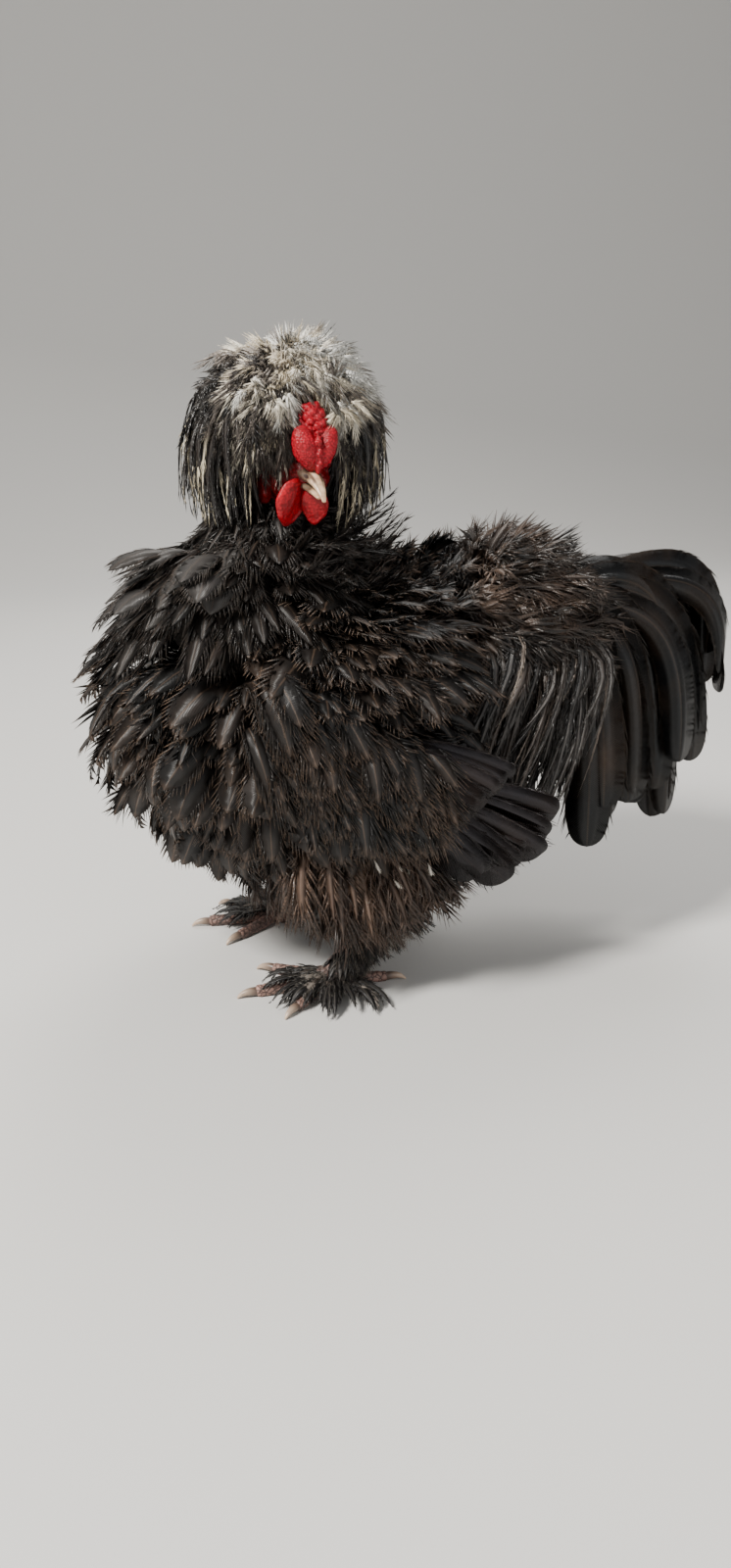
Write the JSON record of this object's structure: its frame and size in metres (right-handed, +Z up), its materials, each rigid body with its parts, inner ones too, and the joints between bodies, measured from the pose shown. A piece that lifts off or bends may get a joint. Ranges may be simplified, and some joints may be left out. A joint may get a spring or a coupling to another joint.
{
  "type": "frizzle-feathered silkie cockerel",
  "caption": "Life-size standing crested cockerel with curled feathers, head turned to its left, shown as a still museum model.",
  "frame": {"origin": "on the floor, under the middle of the bird's outline", "axes": "+Z up, the bird faces along -Y and its left side is +X"},
  "size_m": [0.237, 0.397, 0.3606],
  "materials": {
    "black_feathers": "glossy black feathers with a brown cast",
    "brown_feathers": "soft dark brown feathers",
    "grey_feathers": "black and grey-brown feathers with cream tips",
    "red_skin": "bare red skin, slightly moist",
    "horn": "pale horn with a dark streak",
    "leg_skin": "dark scaly skin with short feathers",
    "eye": "wet dark brown eye"
  },
  "bodies": {
    "root": {"torso": "black_feathers", "neck": "black_feathers", "wing_left": "black_feathers", "wing_right": "black_feathers", "tail_left": "black_feathers", "tail_right": "black_feathers", "saddle": "brown_feathers", "thigh_left": "brown_feathers", "thigh_right": "brown_feathers", "crest": "grey_feathers", "head": "red_skin", "comb": "red_skin", "wattle_left": "red_skin", "wattle_right": "red_skin", "earlobe_left": "red_skin", "earlobe_right": "red_skin", "eye_left": "eye", "eye_right": "eye", "beak_upper": "horn", "beak_lower": "horn", "shank_left": "leg_skin", "shank_right": "leg_skin", "foot_left": "leg_skin", "foot_right": "leg_skin", "claw_left_1": "horn", "claw_left_2": "horn", "claw_left_3": "horn", "claw_left_4": "horn", "claw_left_5": "horn", "claw_right_1": "horn", "claw_right_2": "horn", "claw_right_3": "horn", "claw_right_4": "horn", "claw_right_5": "horn"}
  },
  "joints": []
}
